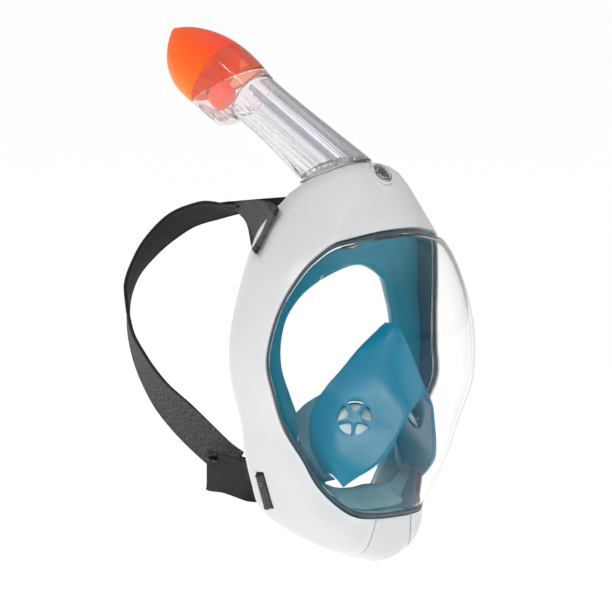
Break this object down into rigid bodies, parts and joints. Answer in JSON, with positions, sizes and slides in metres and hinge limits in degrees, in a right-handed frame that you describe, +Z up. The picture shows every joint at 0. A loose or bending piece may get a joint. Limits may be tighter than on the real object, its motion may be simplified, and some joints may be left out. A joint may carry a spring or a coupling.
{
  "type": "full face snorkel mask",
  "caption": "Full face snorkel mask: white shell, clear domed visor, teal skirt and nose cup, dry-top snorkel that unplugs, and an elastic head strap.",
  "frame": {"origin": "centre of the face opening, where the wearer's face seals", "axes": "+X to the wearer's left, +Y towards the wearer's head (the visor looks along -Y), +Z up"},
  "size_m": [0.182, 0.2705, 0.339],
  "materials": {
    "white_shell": "satin white moulded plastic",
    "clear_plastic": "clear polished polycarbonate",
    "teal_silicone": "translucent teal silicone",
    "orange_plastic": "translucent orange plastic",
    "gasket_rubber": "soft matt gasket",
    "strap_fabric": "heather charcoal elastic knit",
    "dark_rubber": "matt rubber",
    "stainless_steel": "drawn stainless wire"
  },
  "bodies": {
    "mask": {"outer_frame": "white_shell", "chin_cover": "white_shell", "tube_socket": "white_shell", "button_bezel": "white_shell", "visor_lens": "clear_plastic", "inhale_valve_seat_left": "clear_plastic", "inhale_valve_seat_right": "clear_plastic", "chin_valve_seat": "clear_plastic", "face_skirt": "teal_silicone", "nose_cup": "teal_silicone", "socket_gasket": "gasket_rubber", "strap_wedge_left": "strap_fabric", "strap_wedge_right": "strap_fabric", "back_band": "strap_fabric", "nape_strap": "strap_fabric", "crown_patch": "dark_rubber", "button_spring": "stainless_steel", "upper_strap_pin_left": "stainless_steel", "upper_strap_pin_right": "stainless_steel"},
    "snorkel": {"snorkel_tube": "clear_plastic", "centre_duct": "clear_plastic", "float_cage": "clear_plastic", "float_seat": "clear_plastic", "top_cap": "orange_plastic", "tube_o_ring_1": "teal_silicone", "tube_o_ring_2": "teal_silicone"},
    "float_body": {"float": "orange_plastic", "float_seal": "teal_silicone"},
    "button": {"release_button": "clear_plastic"},
    "inhale_flap_left": {"inhale_valve_disc_left": "teal_silicone"},
    "inhale_flap_right": {"inhale_valve_disc_right": "teal_silicone"},
    "chin_flap": {"chin_valve_disc": "teal_silicone"}
  },
  "joints": [
    {"name": "snorkel_pull", "type": "slide", "parent": "mask", "child": "snorkel", "axis": [0, 0.8526, 0.5225], "range_m": [0, 0.045]},
    {"name": "float_lift", "type": "slide", "parent": "snorkel", "child": "float_body", "axis": [0, 0.8526, 0.5225], "range_m": [0, 0.011]},
    {"name": "button_press", "type": "slide", "parent": "mask", "child": "button", "axis": [0, 0.8104, -0.5859], "range_m": [0, 0.0012], "stiffness_N_per_m": 300},
    {"name": "inhale_flap_lift_left", "type": "slide", "parent": "mask", "child": "inhale_flap_left", "axis": [-0.7035, 0.5025, -0.5025], "range_m": [0, 0.0015], "stiffness_N_per_m": 20},
    {"name": "inhale_flap_lift_right", "type": "slide", "parent": "mask", "child": "inhale_flap_right", "axis": [0.7035, 0.5025, -0.5025], "range_m": [0, 0.0015], "stiffness_N_per_m": 20},
    {"name": "chin_flap_drop", "type": "slide", "parent": "mask", "child": "chin_flap", "axis": [0, 0, -1], "range_m": [0, 0.0015], "stiffness_N_per_m": 20}
  ]
}
